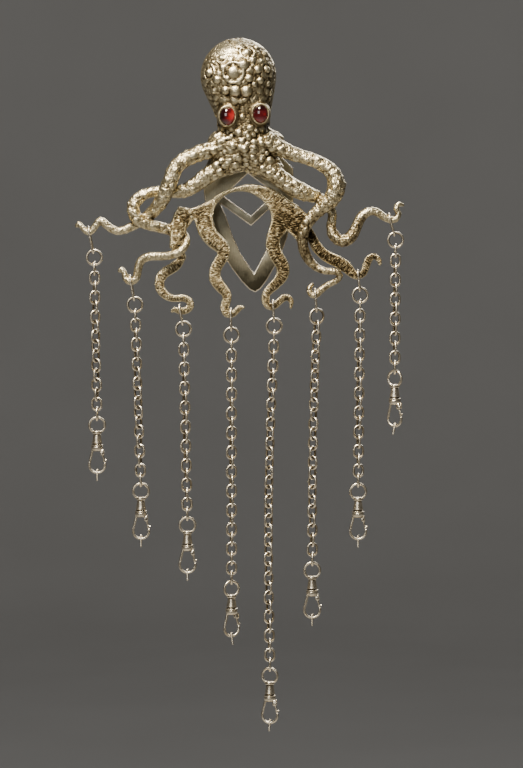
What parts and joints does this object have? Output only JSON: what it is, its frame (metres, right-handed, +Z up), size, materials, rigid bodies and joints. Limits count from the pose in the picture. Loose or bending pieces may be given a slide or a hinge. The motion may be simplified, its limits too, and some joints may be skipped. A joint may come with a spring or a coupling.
{
  "type": "chatelaine",
  "caption": "Tarnished silver belt hook cast as an octopus with red cabochon eyes; a cable chain and a swivel clip hang from each arm.",
  "frame": {"origin": "inside top of the belt hook's bend, where the upper edge of the belt bears", "axes": "+Z up along the hanging chains, -Y towards the viewer in front of the octopus, +X to the viewer's right"},
  "size_m": [0.1186, 0.0184, 0.2505],
  "materials": {
    "cast_silver": "cast, tarnished",
    "sheet_silver": "brushed",
    "silver_wire": "worn polish",
    "clip_silver": "turned, worn",
    "garnet": "polished cabochon"
  },
  "bodies": {
    "hanger": {"octopus": "cast_silver", "belt_hook": "sheet_silver", "eye_left": "garnet", "eye_right": "garnet", "loop_1": "silver_wire", "loop_2": "silver_wire", "loop_3": "silver_wire", "loop_4": "silver_wire", "loop_5": "silver_wire", "loop_6": "silver_wire", "loop_7": "silver_wire", "loop_8": "silver_wire", "ring_1": "silver_wire", "ring_2": "silver_wire", "ring_3": "silver_wire", "ring_4": "silver_wire", "ring_5": "silver_wire", "ring_6": "silver_wire", "ring_7": "silver_wire", "ring_8": "silver_wire", "chain_1": "silver_wire", "chain_2": "silver_wire", "chain_3": "silver_wire", "chain_4": "silver_wire", "chain_5": "silver_wire", "chain_6": "silver_wire", "chain_7": "silver_wire", "chain_8": "silver_wire", "swivel_eye_1": "clip_silver", "swivel_eye_2": "clip_silver", "swivel_eye_3": "clip_silver", "swivel_eye_4": "clip_silver", "swivel_eye_5": "clip_silver", "swivel_eye_6": "clip_silver", "swivel_eye_7": "clip_silver", "swivel_eye_8": "clip_silver"},
    "clip_1": {"clip_1": "clip_silver"},
    "gate_1": {"gate_1": "clip_silver"},
    "clip_2": {"clip_2": "clip_silver"},
    "gate_2": {"gate_2": "clip_silver"},
    "clip_3": {"clip_3": "clip_silver"},
    "gate_3": {"gate_3": "clip_silver"},
    "clip_4": {"clip_4": "clip_silver"},
    "gate_4": {"gate_4": "clip_silver"},
    "clip_5": {"clip_5": "clip_silver"},
    "gate_5": {"gate_5": "clip_silver"},
    "clip_6": {"clip_6": "clip_silver"},
    "gate_6": {"gate_6": "clip_silver"},
    "clip_7": {"clip_7": "clip_silver"},
    "gate_7": {"gate_7": "clip_silver"},
    "clip_8": {"clip_8": "clip_silver"},
    "gate_8": {"gate_8": "clip_silver"}
  },
  "joints": [
    {"name": "swivel_1", "type": "hinge", "parent": "hanger", "child": "clip_1", "pos_m": [-0.05235, -0.00581, -0.1337], "axis": [0, 0, 1], "continuous": true},
    {"name": "gate_1", "type": "hinge", "parent": "clip_1", "child": "gate_1", "pos_m": [-0.05043, -0.00581, -0.1346], "axis": [0, 1, 0], "range_deg": [0, 30], "stiffness_Nm_per_rad": 0.001, "springref_deg": -34.38},
    {"name": "swivel_2", "type": "hinge", "parent": "hanger", "child": "clip_2", "pos_m": [-0.03656, -0.00602, -0.15764], "axis": [0, 0, 1], "continuous": true},
    {"name": "gate_2", "type": "hinge", "parent": "clip_2", "child": "gate_2", "pos_m": [-0.03464, -0.00602, -0.15854], "axis": [0, 1, 0], "range_deg": [0, 30], "stiffness_Nm_per_rad": 0.001, "springref_deg": -34.38},
    {"name": "swivel_3", "type": "hinge", "parent": "hanger", "child": "clip_3", "pos_m": [-0.01979, -0.00588, -0.16998], "axis": [0, 0, 1], "continuous": true},
    {"name": "gate_3", "type": "hinge", "parent": "clip_3", "child": "gate_3", "pos_m": [-0.01788, -0.00588, -0.17088], "axis": [0, 1, 0], "range_deg": [0, 30], "stiffness_Nm_per_rad": 0.001, "springref_deg": -34.38},
    {"name": "swivel_4", "type": "hinge", "parent": "hanger", "child": "clip_4", "pos_m": [-0.00385, -0.00588, -0.19319], "axis": [0, 0, 1], "continuous": true},
    {"name": "gate_4", "type": "hinge", "parent": "clip_4", "child": "gate_4", "pos_m": [-0.00211, -0.00507, -0.19409], "axis": [-0.4226, 0.9063, 0], "range_deg": [0, 30], "stiffness_Nm_per_rad": 0.001, "springref_deg": -34.38},
    {"name": "swivel_5", "type": "hinge", "parent": "hanger", "child": "clip_5", "pos_m": [0.01001, -0.00588, -0.22489], "axis": [0, 0, 1], "continuous": true},
    {"name": "gate_5", "type": "hinge", "parent": "clip_5", "child": "gate_5", "pos_m": [0.01186, -0.00637, -0.22579], "axis": [0.2588, 0.9659, 0], "range_deg": [0, 30], "stiffness_Nm_per_rad": 0.001, "springref_deg": -34.38},
    {"name": "swivel_6", "type": "hinge", "parent": "hanger", "child": "clip_6", "pos_m": [0.02533, -0.00585, -0.18643], "axis": [0, 0, 1], "continuous": true},
    {"name": "gate_6", "type": "hinge", "parent": "clip_6", "child": "gate_6", "pos_m": [0.02724, -0.00585, -0.18733], "axis": [0, 1, 0], "range_deg": [0, 30], "stiffness_Nm_per_rad": 0.001, "springref_deg": -34.38},
    {"name": "swivel_7", "type": "hinge", "parent": "hanger", "child": "clip_7", "pos_m": [0.0419, -0.00562, -0.15783], "axis": [0, 0, 1], "continuous": true},
    {"name": "gate_7", "type": "hinge", "parent": "clip_7", "child": "gate_7", "pos_m": [0.04381, -0.00562, -0.15873], "axis": [0, 1, 0], "range_deg": [0, 30], "stiffness_Nm_per_rad": 0.001, "springref_deg": -34.38},
    {"name": "swivel_8", "type": "hinge", "parent": "hanger", "child": "clip_8", "pos_m": [0.05506, -0.00565, -0.11692], "axis": [0, 0, 1], "continuous": true},
    {"name": "gate_8", "type": "hinge", "parent": "clip_8", "child": "gate_8", "pos_m": [0.05663, -0.00675, -0.11782], "axis": [0.5736, 0.8192, 0], "range_deg": [0, 30], "stiffness_Nm_per_rad": 0.001, "springref_deg": -34.38}
  ]
}
